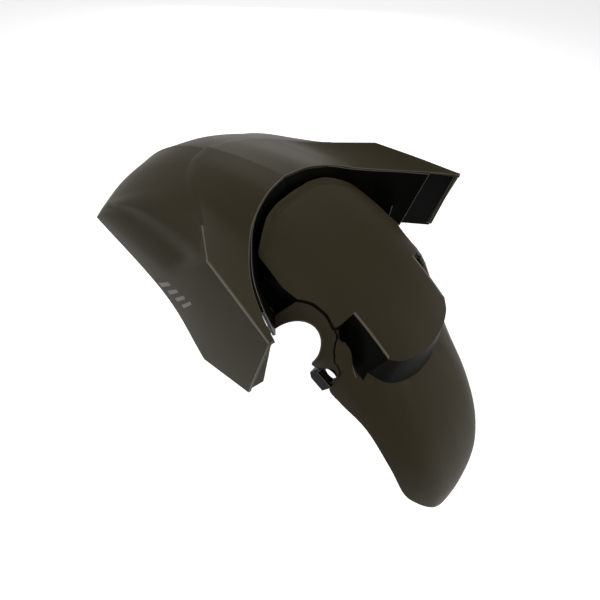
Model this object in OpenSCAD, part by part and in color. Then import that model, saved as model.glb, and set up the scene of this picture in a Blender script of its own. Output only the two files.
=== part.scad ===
// Front mudguard for a motorcycle with a 17 inch front wheel: one thin moulding.
// +X is forward, +Y is the left side of the motorcycle, +Z is up, all in mm.
// The forms are worked out round the wheel axis and moved at the end, so that
// the frame's origin lies midway between the two fork bolt holes.
// Control points are [angle round the wheel, lift over the crown, half width].

/* [Wheel and fork] */
// Outer radius of the blade's crown, measured from the wheel axis
crown_r = 322; // [300:0.5:345]
// Rake of the fork, in degrees from upright
rake = 25; // [23:0.5:27]
// Half of the distance between the two fork legs
fork_y = 96.9; // [92:0.1:102]
// Radius of the clearance round each fork leg
fork_clear_r = 23.3; // [20:0.1:26]
// How far the middle of the clearance lies before the fork line
fork_lead = 2; // [-2:0.1:6]

/* [Moulding] */
// Thickness of the hood
hood_wall = 3; // [2.2:0.1:4]
// Thickness of the blade and its platform
blade_wall = 3; // [2.2:0.1:4]
// Thickness of the step between hood and blade
step_wall = 3; // [2.2:0.1:4]

/* [Hood] */
// Half width of the hood at the lower rear tips
hood_half_w = 147.3; // [140:0.1:156]
// Height of the raised collar over the nose
collar_step = 3; // [0:0.1:5]
// Depth of the scoop in each side of the nose
scoop_depth = 9; // [0:0.1:14]
// Width of the return face at the lower rear tips
return_w = 17; // [8:0.1:22]

/* [Platform] */
// Lift of the platform's middle over the crown
platform_lift = 16; // [12:0.1:20]
// How far the platform falls away at half width 72
platform_fall = 18; // [12:0.1:22]
// Depth of the groove before the platform's rim
groove_depth = 8; // [5:0.1:11]
// Depth of the corner recess at the platform's wall
recess_depth = 26; // [16:0.1:30]
// How far the blade's edge turns down beside the bolt holes
edge_roll = 12; // [6:0.1:14]
// Depth of the ledge round each fork leg
ledge_depth = 2.9; // [1:0.1:4]

/* [Tail] */
// Angle at which the tail ends, from straight ahead over the top
tail_end = 173; // [168:0.1:179]
// Half width of the tail where it leaves the platform
tail_half_w = 76; // [70:0.1:84]

/* [Fork bolts] */
// Diameter of each bolt hole
bolt_d = 15.6; // [10:0.1:17]
// How far the bolt holes lie under the crown, along the fork
bolt_low = 44.7; // [43:0.1:48]
// Distance of the bolt holes behind the fork line
bolt_back = 41.7; // [40:0.1:44]
// Wall of the bolt box
box_wall = 3.2; // [2.4:0.1:4]
// How far the box's outer face lies inside the fork's middle
box_side = 11.5; // [9:0.1:13]
// Width of the bolt box
box_w = 12.6; // [11:0.1:15]
// Room round the bolt hole in the box
box_room = 3.2; // [2:0.1:4]
// Depth of the bolt box under the hole's edge
box_drop = 9; // [6:0.1:12]

/* [Hidden] */
$fn = 64;
fork_dir = [-sin(rake), 0, cos(rake)];
fork_fwd = [cos(rake), 0, sin(rake)];
bolt_rho = crown_r - bolt_low;
bolt_at = fork_dir * bolt_rho - fork_fwd * bolt_back;
box_out_y = fork_y - box_side;
box_in_y = box_out_y - box_w;
wscale = hood_half_w / 147.3;
far = 60;

// Small helpers
function unit(v) = norm(v) > 1e-9 ? v / norm(v) : [0, 0, 0];
function lerp(a, b, t) = a + (b - a) * t;
// All angles turn with the fork
function polar(t, r, y) = let (a = t + rake - 25) [r * cos(a), y, r * sin(a)];
// A control point of the hood: angle, lift over the crown, half width
function hp(p) = polar(p[0], crown_r + p[1], p[2] * wscale);
function flip(p) = [p[0], -p[1], p[2]];
// A smooth curve through the points, with whole numbers of s at the points
function knot(P, i) = i < 0 ? 2 * P[0] - P[1]
    : i >= len(P) ? 2 * P[len(P) - 1] - P[len(P) - 2] : P[i];
function through(P, s) = let (
        i = min(floor(s), len(P) - 2),
        f = s - i,
        a = knot(P, i - 1),
        b = knot(P, i),
        c = knot(P, i + 1),
        d = knot(P, i + 2))
    0.5 * (2 * b + (c - a) * f + (2 * a - 5 * b + 4 * c - d) * f * f
        + (3 * b - a - 3 * c + d) * f * f * f);
// A curve that may turn a corner at each of the listed points
function cornered(P, s, cuts, k = 0) =
    k + 2 == len(cuts) || s <= cuts[k + 1]
        ? through([for (i = [cuts[k] : cuts[k + 1]]) P[i]], s - cuts[k])
        : cornered(P, s, cuts, k + 1);

// Rows of control points, from the middle of the hood to the rear tip
edge_rows = [[93.6, 26.7, 0], [94.5, 25.4, 28.7], [96.4, 19.4, 56.6],
    [99.0, 15.8, 76], [103.1, 18.9, 98.7], [107.4, 29.1, 117], [111.8, 44, 132.6]];
crease_rows = [[74.6, 15.5, 0], [76.3, 14, 26], [80.6, 12.2, 51], [88.3, 13, 77.5],
    [97.5, 23.3, 115.3], [104.8, 30.4, 125.8], [111.7, 42.9, 136.3]];
side_rows = [[62, 12.5, 0], [62.6, 6.5, 42], [66, -4, 76], [70, -16, 99],
    [91.2, -32.4, 121.5], [104, -33.4, 135.5], [113.2, 1.2, 142.5]];
rim_rows = [[49.3, 5.2, 0], [49.6, -5.6, 50], [50.7, -18.5, 85], [48.3, -27.4, 100],
    [82.1, -83.2, 122.5], [102.8, -96.8, 141.3], [115.2, -40.5, 147.3]];
// Foot of the step: place along the edge, angle, lift, half width
step_rows = [[0, 94.2, 6.4, 0], [1, 94.9, 5.8, 28.7], [1.5, 95.8, 2.4, 43],
    [2, 96.9, -2.1, 56.6], [2.5, 98.4, -10, 67.5], [3, 101.6, -22, 74.5],
    [3.55, 104.4, -20, 90], [4.4, 108, -21, 90.5], [5.2, 110.6, -30, 100]];

function edge_at(u) = through([for (p = edge_rows) hp(p)], u);
function crease_at(u) = cornered([for (p = crease_rows) hp(p)], u, [0, 4, 6]);
function side_at(u) = through([for (p = side_rows) hp(p)], u);
function rim_at(u) = cornered([for (p = rim_rows) hp(p)], u, [0, 3, 5, 6]);
function step_at(u) = hp([for (k = [1 : 3])
    lookup(u, [for (p = step_rows) [p[0], p[k]]])]);
function smooth(x) = let (c = min(1, max(0, x))) c * c * (3 - 2 * c);
// The scoop falls fast from its upper line and comes back slowly to its lower line
scoop_top = [[2.2, 0.8], [2.65, 0.58], [2.95, 0.32], [3.33, 0.14], [3.62, 0.06]];
scoop_low = [[2.2, 1], [2.65, 0.97], [3.12, 0.9], [3.5, 0.8], [3.95, 0.6]];
function scoop(u, v) = let (
        a = lookup(u, scoop_top),
        b = lookup(u, scoop_low),
        w = (v - a) / (b - a))
    1.25 * smooth(w / 0.4) * (1 - smooth((w - 0.12) / 0.88))
        * smooth((u - 2.15) / 0.75) * smooth((3.95 - u) / 0.2);

// Hood surface: the collar from edge to crease, then the nose and side to the rim
collar_bulge = [2.5, 2.5, 2, 0.5, -1, 0, 0];
function collar_pt(u, w) = let (
        p = lerp(edge_at(u), crease_at(u), w),
        lift = lookup(u, [for (i = [0 : 6]) [i, collar_bulge[i]]]))
    p + unit([p[0], 0, p[2]]) * lift * 4 * w * (1 - w);
function foot_at(u) = let (
        p = crease_at(u),
        q = side_at(u),
        amount = min(1, max(0.12, 4 - u)))
    p + unit(q - p) * 5 * amount
        - unit([p[0], 0, p[2]]) * collar_step * (amount - 0.12);
function nose_pt(u, v) = let (
        a = foot_at(u),
        b = side_at(u),
        c = rim_at(u),
        m = 2 * b - (a + c) / 2,
        p = a * (1 - v) * (1 - v) + m * 2 * v * (1 - v) + c * v * v,
        out = unit([p[0] * 0.35, p[1] * 1.4, p[2] * 0.35]),
        dip = scoop_depth * scoop(u, v))
    p - out * dip;

u_list = [for (i = [0 : 3]) i / 4, for (i = [0 : 3]) 1 + i / 4,
    for (i = [0 : 4]) 2 + i / 5, for (i = [0 : 7]) 3 + i / 8,
    for (i = [0 : 3]) 4 + i / 4, for (i = [0 : 4]) 5 + i / 4];
w_list = [0, 0.25, 0.5, 0.78, 1];
v_list = [0, 0.1, 0.2, 0.3, 0.42, 0.54, 0.66, 0.78, 0.9, 1];
hood_half = [for (u = u_list) [for (w = w_list) collar_pt(u, w),
    for (v = v_list) nose_pt(u, v)]];
function both_sides(H) = [for (i = [len(H) - 1 : -1 : 1]) [for (p = H[i]) flip(p)],
    for (row = H) row];

// Normals of a grid, as the mean of the faces round each point
function face_n(P, i, j) = unit(cross(P[i + 1][j + 1] - P[i][j],
    P[i][j + 1] - P[i + 1][j]));
function grid_n(P, i, j) = let (
        n = len(P) - 1,
        m = len(P[0]) - 1,
        N = [for (a = [max(0, i - 1) : min(n - 1, i)])
            for (b = [max(0, j - 1) : min(m - 1, j)]) face_n(P, a, b)],
        s = unit(sum(N)),
        spread = sum([for (q = N) q * s]) / len(N))
    s / max(0.72, spread);
function sum(L, i = 0) = i == len(L) - 1 ? L[i] : L[i] + sum(L, i + 1);

// A sheet of even thickness under a grid of points
module sheet(P, wall) {
    n = len(P);
    m = len(P[0]);
    top = [for (i = [0 : n - 1]) for (j = [0 : m - 1]) P[i][j]];
    low = [for (i = [0 : n - 1]) for (j = [0 : m - 1]) P[i][j] + wall * grid_n(P, i, j)];
    k = n * m;
    function id(i, j) = i * m + j;
    faces = concat(
        [for (i = [0 : n - 2]) for (j = [0 : m - 2]) each [
            [id(i, j), id(i + 1, j), id(i + 1, j + 1)],
            [id(i, j), id(i + 1, j + 1), id(i, j + 1)],
            [k + id(i, j), k + id(i + 1, j + 1), k + id(i + 1, j)],
            [k + id(i, j), k + id(i, j + 1), k + id(i + 1, j + 1)]]],
        [for (i = [0 : n - 2]) each [
            [id(i + 1, 0), id(i, 0), k + id(i, 0)],
            [id(i + 1, 0), k + id(i, 0), k + id(i + 1, 0)],
            [id(i, m - 1), id(i + 1, m - 1), k + id(i + 1, m - 1)],
            [id(i, m - 1), k + id(i + 1, m - 1), k + id(i, m - 1)]]],
        [for (j = [0 : m - 2]) each [
            [id(0, j), id(0, j + 1), k + id(0, j + 1)],
            [id(0, j), k + id(0, j + 1), k + id(0, j)],
            [id(n - 1, j + 1), id(n - 1, j), k + id(n - 1, j)],
            [id(n - 1, j + 1), k + id(n - 1, j), k + id(n - 1, j + 1)]]]);
    polyhedron(concat(top, low), faces, convexity = 12);
}

module hood() {
    sheet(both_sides(hood_half), hood_wall);
}

// The step from the hood's edge down to the blade, and on as a web in each leg
module step() {
    us = [for (i = [0 : 26]) i * 5.2 / 26];
    half = [for (u = us) let (
            t = lerp(edge_at(u), crease_at(u), 0.03) - unit(edge_at(u)) * 1.2,
            b = step_at(u))
        [for (f = [0, 0.34, 0.67, 1]) lerp(t, b, f)]];
    sheet(both_sides(half), step_wall);
}

// Narrow return face at the rear end of each side
module end_return() {
    a = side_end(0);
    b = side_end(1);
    in_b = b + unit([-8.1, -12.3, 11.4]) * return_w;
    in_a = edge_at(6) + [2, 0.3, -2];
    rows = [for (f = [0, 0.33, 0.67, 1]) [lerp(in_a, in_b, f), lerp(a, b, f)]];
    sheet(rows, hood_wall);
}
function side_end(f) = lerp(crease_at(6), rim_at(6), f) + [1.2, -1.4, f < 0.5 ? -1.6 : 1.2];

// Blade: rings in [angle, half width] round the platform
function crown(t) = crown_r + lookup(t, [[90, 7.5], [116, 7.5], [121, 2], [127, -8],
    [134, -11], [142, -9.5], [156, -5], [166, -1.5], [176, 0], [190, 0]]);
function fall_of(y, slope, from, soft) = 0.5 * slope
    * (y - from + norm([y - from, soft]) - (norm([from, soft]) - from));
function blade_r(t, y) = let (k = min(1, max(0, (t - 120) / 14)), a = abs(y))
    crown(t) - fall_of(a, lerp(0.9, 1, k), lerp(60, 52, k), lerp(10, 16, k));
function platform_r(y) = crown_r + platform_lift - platform_fall * pow(abs(y) / 72, 3.3);

// Each row is the platform's outline [angle, half width], the draft of its wall,
// its height, and the blade's outer edge [angle, half width, lift or 0 to follow]
function gd() = groove_depth;
tw = tail_half_w;
te = tail_end;
fy = fork_y;
rings = [
    [95.6, 0, 2.5, gd(), 92.4, 0, 8],
    [95.7, 12, 2.5, gd(), 92.5, 13, 8],
    [95.8, 23, 2.5, gd(), 92.7, 25, 7.5],
    [96.4, 38, 2.5, gd(), 93.4, 41, 5],
    [97.1, 46, 2.5, gd(), 94.2, 50, 2],
    [97.8, 52.6, 2.5, gd(), 95, 57, -1],
    [99, 63, 2.5, gd() + 1, 96.6, 67, -8],
    [99.9, 68.6, 2, gd() + 2, 98.4, 72, -20],
    [101, 69.8, 1.5, gd() + 4, 100.5, 76, -32],
    [103.6, 71.6, 1.5, gd() + 4, 103.4, 83, -36],
    [106.1, 73.2, 1.5, gd() + 4, 105.7, 88, -37],
    [108.6, 72.2, 1.5, gd() + 4, 107.9, 91, -37],
    [109.2, 71.6, 1.5, ledge_depth, 108.2, 95.5 * wscale, 0],
    [110.3, fy - 28.9, 1.5, ledge_depth, 110.1, 102.5 * wscale, 0],
    [111.7, fy - 31.9, 1.5, ledge_depth, 112.2, fy, 0],
    [114.2, fy - 33.4, 1.5, ledge_depth, 115, fy - 4, 0],
    [116.2, fy - 31.4, 1.5, ledge_depth, 117.8, fy - 4, 0],
    [116.5, 60, 3, recess_depth * 0.35, 120.3, box_out_y + 0.5, 0],
    [116.5, 47.4, 6, recess_depth, 122.2, box_in_y + 4.5, 0],
    [119.5, 47.4, 6, recess_depth, 123.8, box_in_y + 4.5, 0],
    [122.5, 47.5, 7, recess_depth, 125.7, box_out_y - 1, 0],
    [125.3, 47.5, 11, recess_depth - 2, 130, tw + 6, 0],
    [126.6, 40, 18, recess_depth - 1, 138, tw, 0],
    [127.3, 33, 22, recess_depth, 149, tw - 1, 0],
    [127.8, 26, 24, recess_depth, 158, tw - 4, 0],
    [128.1, 20, 26, recess_depth + 1, te - 10, tw - 14, 0],
    [128.3, 14, 27, recess_depth + 1, te - 6, tw - 28, 0],
    [128.4, 9, 28, recess_depth + 1, te - 3, tw - 43, 0],
    [128.5, 4.5, 28, recess_depth + 1, te - 0.8, tw - 59, 0],
    [128.5, 0, 28, recess_depth + 1, te, 0, 0]];

mm_per_deg = crown_r * PI / 180;
last = len(rings) - 1;
function plan(c) = c < 0 ? [rings[-c][0] * mm_per_deg, -rings[-c][1]]
    : c > last ? [rings[2 * last - c][0] * mm_per_deg, -rings[2 * last - c][1]]
    : [rings[c][0] * mm_per_deg, rings[c][1]];
// Foot of the platform's wall: the outline moved outward by the draft
function turn_out(d) = [-d[1], d[0]];
function plan_foot(c) = let (
        a = turn_out(unit(plan(c) - plan(c - 1))),
        b = turn_out(unit(plan(c + 1) - plan(c))),
        s = unit(a + b),
        d = plan(c) + s * rings[c][2] / max(0.6, s * b))
    [d[0] / mm_per_deg, max(0, d[1])];
spine_rows = [0, 0.4, 0.7, 0.88, 1];
fan_rows = 10;
ridge_at = 0.3;
function top_pt(c, f) = let (
        t = lerp(98 + 28.5 * c / last, rings[c][0], f),
        y = rings[c][1] * f)
    polar(t, platform_r(y), y);
function fan_pt(c, f) = let (
        q = rings[c],
        foot = c == 0 || c == last ? [plan_foot(c)[0], 0] : plan_foot(c),
        t = lerp(foot[0], q[4], f),
        y = lerp(foot[1], q[5], f),
        r_foot = platform_r(min(foot[1], q[1])) - q[3])
    q[6] != 0 ? polar(t, lerp(r_foot, crown_r + q[6], f), y)
        : polar(t, blade_r(t, y) - (blade_r(foot[0], foot[1]) - r_foot)
            * max(0, 1 - f / ridge_at) - roll_of(c, f), y);
// The blade's edge turns down beside the bolt box
function roll_of(c, f) = edge_roll * lookup(c, [[16, 0], [17, 1.2], [18, 0.7], [19, 0.7], [20, 1], [23, 0.3]])
    * pow(max(0, (f - 0.7) / 0.3), 2);
blade_half = [for (c = [0 : last]) [for (f = spine_rows) top_pt(c, f),
    for (i = [0 : fan_rows]) fan_pt(c, i / fan_rows)]];
blade_loop = [for (c = [0 : last]) blade_half[c],
    for (c = [last - 1 : -1 : 1]) [for (p = blade_half[c]) flip(p)]];

function loop_n(P, c, j) = let (
        n = len(P),
        m = len(P[0]) - 1,
        c0 = (c + n - 1) % n,
        c2 = (c + 1) % n,
        N = [for (b = [max(0, j - 1) : min(m - 1, j)]) each [
            unit(cross(P[c][b + 1] - P[c0][b], P[c0][b + 1] - P[c][b])),
            unit(cross(P[c2][b + 1] - P[c][b], P[c][b + 1] - P[c2][b]))]],
        s = unit(sum(N)))
    j == 0 ? -unit([P[c][0][0], 0, P[c][0][2]])
        : s / max(0.72, sum([for (q = N) q * s]) / len(N));

module blade() {
    P = blade_loop;
    n = len(P);
    m = len(P[0]);
    spine = [for (c = [0 : last]) P[c][0]];
    ring = [for (c = [0 : n - 1]) for (j = [1 : m - 1]) P[c][j]];
    low_spine = [for (c = [0 : last]) P[c][0] + blade_wall * loop_n(P, c, 0)];
    low_ring = [for (c = [0 : n - 1]) for (j = [1 : m - 1])
        P[c][j] + blade_wall * loop_n(P, c, j)];
    k = last + 1 + n * (m - 1);
    function id(c, j) = let (w = c % n)
        j == 0 ? min(w, n - w) : last + 1 + w * (m - 1) + j - 1;
    faces = [for (c = [0 : n - 1]) each [
        for (j = [0 : m - 2]) each [
            [id(c, j), id(c + 1, j), id(c + 1, j + 1)],
            [id(c, j), id(c + 1, j + 1), id(c, j + 1)],
            [k + id(c, j), k + id(c + 1, j + 1), k + id(c + 1, j)],
            [k + id(c, j), k + id(c, j + 1), k + id(c + 1, j + 1)]],
        [id(c, m - 1), id(c + 1, m - 1), k + id(c + 1, m - 1)],
        [id(c, m - 1), k + id(c + 1, m - 1), k + id(c, m - 1)]]];
    polyhedron(concat(spine, ring, low_spine, low_ring), faces, convexity = 12);
}

// A plate square to the fork, from its outline [distance back, height on the fork]
module fork_plate(outline, y) {
    rotate([0, -rake, 0])
        translate([0, y[1], 0])
            rotate([90, 0, 0])
                linear_extrude(y[1] - y[0])
                    polygon([for (p = outline) [-p[0], p[1]]]);
}

box_front = bolt_back - bolt_d / 2 - box_room - box_wall;
box_rear = bolt_back + bolt_d / 2 + box_room - 2.8;
box_low = bolt_rho - bolt_d / 2 - box_drop;
box_slant = 7;
function box_outline(top, inset) = [
    [box_front + inset, top],
    [box_front + inset, box_low + inset + box_slant],
    [box_front + inset + box_slant * 0.8, box_low + inset],
    [box_rear - inset, box_low + inset],
    [box_rear - inset, top]];

// The bolt box: a short inner wall for the bolt, and a pocket open to the top
module bolt_box() {
    fork_plate(box_outline(bolt_rho + 3, 0), [box_in_y, box_out_y]);
    fork_plate(box_outline(bolt_rho + 14, 0), [box_in_y, box_in_y + box_wall]);
    fork_plate([[box_front, bolt_rho], [box_front + box_wall, bolt_rho],
        [box_front + box_wall, bolt_rho + 9], [box_front, bolt_rho + 9]],
        [box_in_y, box_out_y]);
}

module bolt_room() {
    fork_plate(box_outline(bolt_rho + far, box_wall),
        [box_in_y + box_wall, box_out_y - box_wall]);
}

module bolt_hole() {
    translate([bolt_at[0], box_in_y - 6, bolt_at[2]])
        rotate([-90, 0, 0])
            cylinder(d = bolt_d, h = box_wall + 7);
}

module fork_space() {
    translate([0, fork_y, 0])
        rotate([0, -rake, 0])
            translate([fork_lead, 0, crown_r - 110])
                cylinder(r = fork_clear_r, h = 120);
}

module mirrored() {
    children();
    mirror([0, 1, 0])
        children();
}

// The whole skin as one surface, at the full width of the hood
module skin() {
    resize([0, 2 * hood_half_w, 0])
        difference() {
            union() {
                hood();
                step();
                blade();
                mirrored() end_return();
                mirrored() bolt_box();
            }
            mirrored() bolt_room();
        }
}

module mudguard() {
    color([0.17, 0.15, 0.13])
        translate(-bolt_at)
            difference() {
                skin();
                mirrored() bolt_hole();
                mirrored() fork_space();
            }
}

mudguard();
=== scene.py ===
"""Front mudguard of a motorcycle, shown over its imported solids.

Every form is worked out round the wheel axis in millimetres, with +X forward,
+Y to the left and +Z up, and is then moved so that the origin lies midway
between the two fork bolt holes. Blender gets metres.
"""

import logging
from dataclasses import dataclass
from enum import Enum

import bmesh
import bpy
import numpy as np
from mathutils import Matrix, Vector


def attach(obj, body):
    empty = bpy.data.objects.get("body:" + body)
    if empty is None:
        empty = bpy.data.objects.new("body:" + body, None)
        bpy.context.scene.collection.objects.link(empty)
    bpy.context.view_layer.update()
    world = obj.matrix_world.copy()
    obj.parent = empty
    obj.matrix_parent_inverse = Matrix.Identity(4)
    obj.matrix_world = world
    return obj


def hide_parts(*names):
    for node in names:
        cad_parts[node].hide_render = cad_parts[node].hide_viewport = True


Array = np.ndarray
Triple = tuple[float, float, float]
Rows = tuple[tuple[float, ...], ...]
LEAST_SPREAD = 0.72
log = logging.getLogger("mudguard")

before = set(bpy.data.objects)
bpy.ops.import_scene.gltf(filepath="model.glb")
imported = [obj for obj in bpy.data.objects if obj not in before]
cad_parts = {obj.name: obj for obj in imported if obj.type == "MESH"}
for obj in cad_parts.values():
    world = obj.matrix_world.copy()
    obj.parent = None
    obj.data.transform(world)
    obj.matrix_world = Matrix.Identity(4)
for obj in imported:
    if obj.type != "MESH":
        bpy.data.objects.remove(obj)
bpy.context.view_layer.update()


class Skin(Enum):
    """The finishes that a face of the moulding can have, as material slots."""

    PAINTED = 0
    BARE = 1
    # The last slot is painted highlight: a lighter colour on rounds and thin lines, standing
    # in for the light that they catch.
    EDGE = 2


class Side(Enum):
    """A side of the middle plane, as the sign of y."""

    LEFT = 1
    RIGHT = -1


@dataclass(frozen=True)
class ForkSizes:
    """Sizes that all pieces share, in millimetres and degrees."""

    wall: float = 3.0
    crown_r: float = 322.0
    rake: float = 25.0
    fork_y: float = 96.9
    clear_r: float = 23.3
    lead: float = 2.0
    bolt_d: float = 15.6
    bolt_low: float = 44.7
    bolt_back: float = 41.7
    box_side: float = 11.5
    box_width: float = 12.6

    @property
    def up_fork(self) -> Array:
        """Unit direction up the fork legs."""
        a = np.radians(self.rake)
        return np.array([-np.sin(a), 0.0, np.cos(a)])

    @property
    def before_fork(self) -> Array:
        """Unit direction forward, square to the fork legs."""
        a = np.radians(self.rake)
        return np.array([np.cos(a), 0.0, np.sin(a)])

    @property
    def bolt_rho(self) -> float:
        """Height of the bolt holes along the fork, from the wheel axis."""
        return self.crown_r - self.bolt_low

    @property
    def bolt_at(self) -> Array:
        """The point midway between the bolt holes, from the wheel axis."""
        return self.up_fork * self.bolt_rho - self.before_fork * self.bolt_back

    @property
    def box_y(self) -> tuple[float, float]:
        """The bolt box's inner and outer side, from the middle plane."""
        out = self.fork_y - self.box_side
        return out - self.box_width, out

    def placed(self, points: Array) -> Array:
        """Moves points from the wheel axis to the part's origin.

        Args:
            points: Points round the wheel axis, in millimetres.

        Returns:
            The points in the part's frame, in metres.
        """
        return (points - self.bolt_at) / 1000.0

    def on_fork(self, back: Array, y: Array, height: Array) -> Array:
        """Points from distances square to the fork.

        Formula: height times the direction up the fork, less the distance
        back times the direction before it, plus y sideways.

        Args:
            back: Distance behind the fork line.
            y: Distance to the left of the middle plane.
            height: Height along the fork from the wheel axis.

        Returns:
            Points with a last axis of three, in millimetres.
        """
        back, y, height = np.broadcast_arrays(back, y, height)
        side = np.zeros(y.shape + (3,))
        side[..., 1] = y
        return (height[..., None] * self.up_fork
                - back[..., None] * self.before_fork + side)


# Shapes on arrays


def unit(v: Array) -> Array:
    """Vectors divided by their own lengths."""
    return v / np.maximum(np.linalg.norm(v, axis=-1, keepdims=True), 1e-9)


def blend(a: Array, b: Array, f: Array) -> Array:
    """Values on the straight way from a, at f = 0, to b, at f = 1."""
    return a * (1 - f) + b * f


def polar(angle: Array, r: Array, y: Array) -> Array:
    """Points from polar coordinates round the wheel axis.

    Formula: the radius times the angle's cosine forward and its sine up, and
    the half width sideways.

    Args:
        angle: Angle from straight ahead, in degrees.
        r: Radius from the wheel axis.
        y: Distance to the left of the middle plane.

    Returns:
        Points with a last axis of three.
    """
    angle, r, y = np.broadcast_arrays(angle, r, y)
    a = np.radians(angle)
    return np.stack([r * np.cos(a), y, r * np.sin(a)], axis=-1)


def circle(r: float, steps: int) -> tuple[Array, Array]:
    """Both coordinates of points all round a circle."""
    turn = np.linspace(0, 2 * np.pi, steps + 1)[:-1]
    return r * np.cos(turn), r * np.sin(turn)


def radial(points: Array) -> Array:
    """Unit directions away from the wheel axis."""
    return unit(points * np.array([1.0, 0.0, 1.0]))


def smooth(x: Array) -> Array:
    """Smooth step: 3x squared less 2x cubed, held at 0 and 1 outside the range."""
    x = np.clip(x, 0.0, 1.0)
    return x * x * (3.0 - 2.0 * x)


def through(points: Array, s: Array, before: Array | None = None,
            after: Array | None = None) -> Array:
    """A smooth curve through points, with whole numbers of s at the points.

    Formula: between two points, the cubic whose slope at each of them is half
    the difference of the points before and after it.

    Args:
        points: Control points, first axis along the curve.
        s: Places along the curve.
        before: Point before the first, or None to run on straight.
        after: Point after the last, or None to run on straight.

    Returns:
        One point for each s.
    """
    first = 2 * points[0] - points[1] if before is None else before
    final = 2 * points[-1] - points[-2] if after is None else after
    p = np.concatenate([first[None], points, final[None]])
    i = np.clip(np.floor(s).astype(int), 0, len(points) - 2)
    f = (s - i).reshape((-1,) + (1,) * (points.ndim - 1))
    a, b, c, d = p[i], p[i + 1], p[i + 2], p[i + 3]
    return 0.5 * (2 * b + (c - a) * f + (2 * a - 5 * b + 4 * c - d) * f ** 2
                  + (3 * b - a - 3 * c + d) * f ** 3)


def cornered(points: Array, s: Array, cuts: tuple[int, ...],
             before: Array | None = None, after: Array | None = None) -> Array:
    """A curve through points that may turn a corner at each of the cuts.

    Args:
        points: Control points, first axis along the curve.
        s: Places along the curve.
        cuts: Numbers of the points with a corner, and of both ends.
        before: Point before the first, or None to run on straight.
        after: Point after the last, or None to run on straight.

    Returns:
        One point for each s, on the smooth curve of its own part.
    """
    out = np.zeros((len(s),) + points.shape[1:])
    for lo, hi in zip(cuts[:-1], cuts[1:]):
        part = (s >= lo) & (s <= hi)
        out[part] = through(points[lo:hi + 1], s[part] - lo,
                            before if lo == cuts[0] else None,
                            after if hi == cuts[-1] else None)
    return out


def places(per_knot: tuple[int, ...]) -> Array:
    """Places along a curve, with per_knot[i] steps between knots i and i + 1."""
    runs = [i + np.arange(n) / n for i, n in enumerate(per_knot)]
    return np.concatenate(runs + [np.array([float(len(per_knot))])])


def between_rows(rows: Rows, x: Array) -> Array:
    """Values on straight lines between rows of a place and a value."""
    table = np.array(rows)
    return np.interp(x, table[:, 0], table[:, 1])


def inward(grid: Array) -> Array:
    """Directions into the wall at each point of a grid, for a mitred offset.

    Formula: the mean of the crosses of the diagonals of the cells round each
    point, divided by its length, and lengthened where cells meet at an angle.

    Args:
        grid: Points on two axes, with a last axis of three.

    Returns:
        One direction for each point, of length 1 or a little more.
    """
    n, m = grid.shape[:2]
    cell = unit(np.cross(grid[1:, 1:] - grid[:-1, :-1],
                         grid[:-1, 1:] - grid[1:, :-1]))
    total = np.zeros((n, m, 3))
    count = np.zeros((n, m, 1))
    for a in (0, 1):
        for b in (0, 1):
            total[a:n - 1 + a, b:m - 1 + b] += cell
            count[a:n - 1 + a, b:m - 1 + b] += 1.0
    spread = np.linalg.norm(total, axis=-1, keepdims=True) / count
    return unit(total) / np.maximum(spread, LEAST_SPREAD)


# Meshes


def quads_of(index: Array) -> Array:
    """The four vertex numbers of each cell of a grid of vertex numbers."""
    return np.stack([index[:-1, :-1], index[:-1, 1:], index[1:, 1:],
                     index[1:, :-1]], axis=-1).reshape(-1, 4)


def shell_faces(outer: Array, inner: Array, closed: bool) -> Array:
    """Faces of a wall between two grids of vertex numbers.

    Args:
        outer: Vertex numbers of the outer grid.
        inner: Vertex numbers of the inner grid, of the same shape.
        closed: True where the first axis is a loop and the first column is
            shared, so that only the last column has an edge face.

    Returns:
        Faces of four vertices, some of which may repeat a vertex.
    """
    rim = [quads_of(np.stack([outer[:, -1], inner[:, -1]], axis=1))]
    if not closed:
        rim += [quads_of(np.stack([inner[:, 0], outer[:, 0]], axis=1)),
                quads_of(np.stack([outer[0], inner[0]], axis=1)),
                quads_of(np.stack([inner[-1], outer[-1]], axis=1))]
    return np.concatenate([quads_of(outer), quads_of(inner)[:, ::-1]] + rim)


def linked(data: bpy.types.ID) -> bpy.types.Object:
    """An object of a mesh, camera or lamp, with the same name.

    Args:
        data: The mesh, camera or lamp.

    Returns:
        The object, linked to the scene.
    """
    made = bpy.data.objects.new(data.name, data)
    bpy.context.scene.collection.objects.link(made)
    return made


def face_outward(mesh: bpy.types.Mesh, weld: float = 0.0) -> None:
    """Turns all faces outward, after a weld.

    Args:
        mesh: The mesh, changed in place.
        weld: Vertices nearer than this become one, in metres, or 0 for none.
    """
    work = bmesh.new()
    work.from_mesh(mesh)
    if weld > 0.0:
        bmesh.ops.remove_doubles(work, verts=work.verts, dist=weld)
    bmesh.ops.recalc_face_normals(work, faces=work.faces)
    work.to_mesh(mesh)
    work.free()


def make_mesh(name: str, points: Array, faces: Array, skins: Array,
              sizes: ForkSizes) -> bpy.types.Object:
    """A mesh object in the part's frame, with outward faces.

    Args:
        name: Name of the piece.
        points: Vertices round the wheel axis, in millimetres.
        faces: Faces of four vertex numbers, where a repeat gives a triangle.
        skins: The material slot of each face.
        sizes: The shared sizes, which hold the origin.

    Returns:
        The object, linked to the scene.
    """
    mesh = bpy.data.meshes.new(name)
    lists = [list(dict.fromkeys(f)) if f[0] == f[1] or f[1] == f[2] or f[2] == f[3]
             or f[3] == f[0] else f for f in faces.tolist()]
    keep = [i for i, f in enumerate(lists) if len(f) > 2]
    mesh.from_pydata(sizes.placed(points).tolist(), [], [lists[i] for i in keep])
    mesh.polygons.foreach_set("material_index", skins[keep].astype(np.int32))
    face_outward(mesh, weld=1e-6)
    return linked(mesh)


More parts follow.
